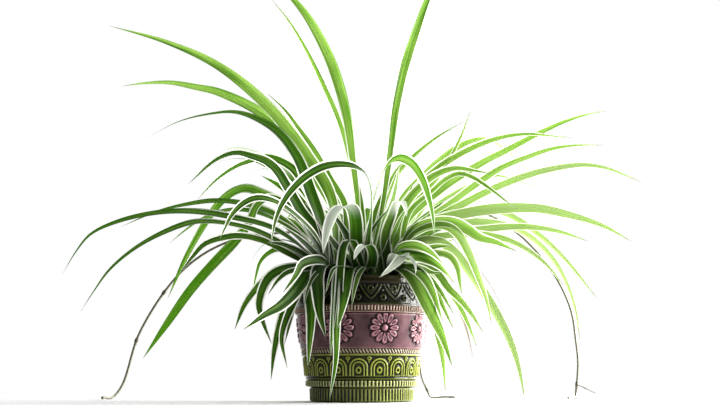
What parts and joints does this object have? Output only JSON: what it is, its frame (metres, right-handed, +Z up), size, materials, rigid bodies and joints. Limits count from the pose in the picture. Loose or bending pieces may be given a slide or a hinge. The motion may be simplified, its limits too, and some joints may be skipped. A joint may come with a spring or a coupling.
{
  "type": "potted spider plant",
  "caption": "Variegated spider plant with arching strap leaves and trailing runners, growing in a round glazed pot with moulded relief bands.",
  "frame": {"origin": "middle of the pot's base, on the surface that it stands on", "axes": "+Z up; -Y is the front that the picture shows; +X to the right as seen from the front"},
  "size_m": [0.577, 0.345, 0.48],
  "materials": {
    "glazed_pot": "gloss",
    "potting_soil": "rough",
    "leaf_left_front": "satin",
    "leaf_left_back": "satin",
    "leaf_centre": "satin",
    "leaf_front": "satin",
    "leaf_right_front": "satin",
    "leaf_right_back": "satin",
    "leaf_back": "satin",
    "runner_stem": "satin"
  },
  "bodies": {
    "root": {"pot": "glazed_pot", "soil": "potting_soil", "tuft_left_front": "leaf_left_front", "tuft_left_back": "leaf_left_back", "tuft_centre": "leaf_centre", "tuft_front": "leaf_front", "tuft_right_front": "leaf_right_front", "tuft_right_back": "leaf_right_back", "tuft_back": "leaf_back", "runner_left": "runner_stem", "runner_right": "runner_stem", "runner_back": "runner_stem"}
  },
  "joints": []
}
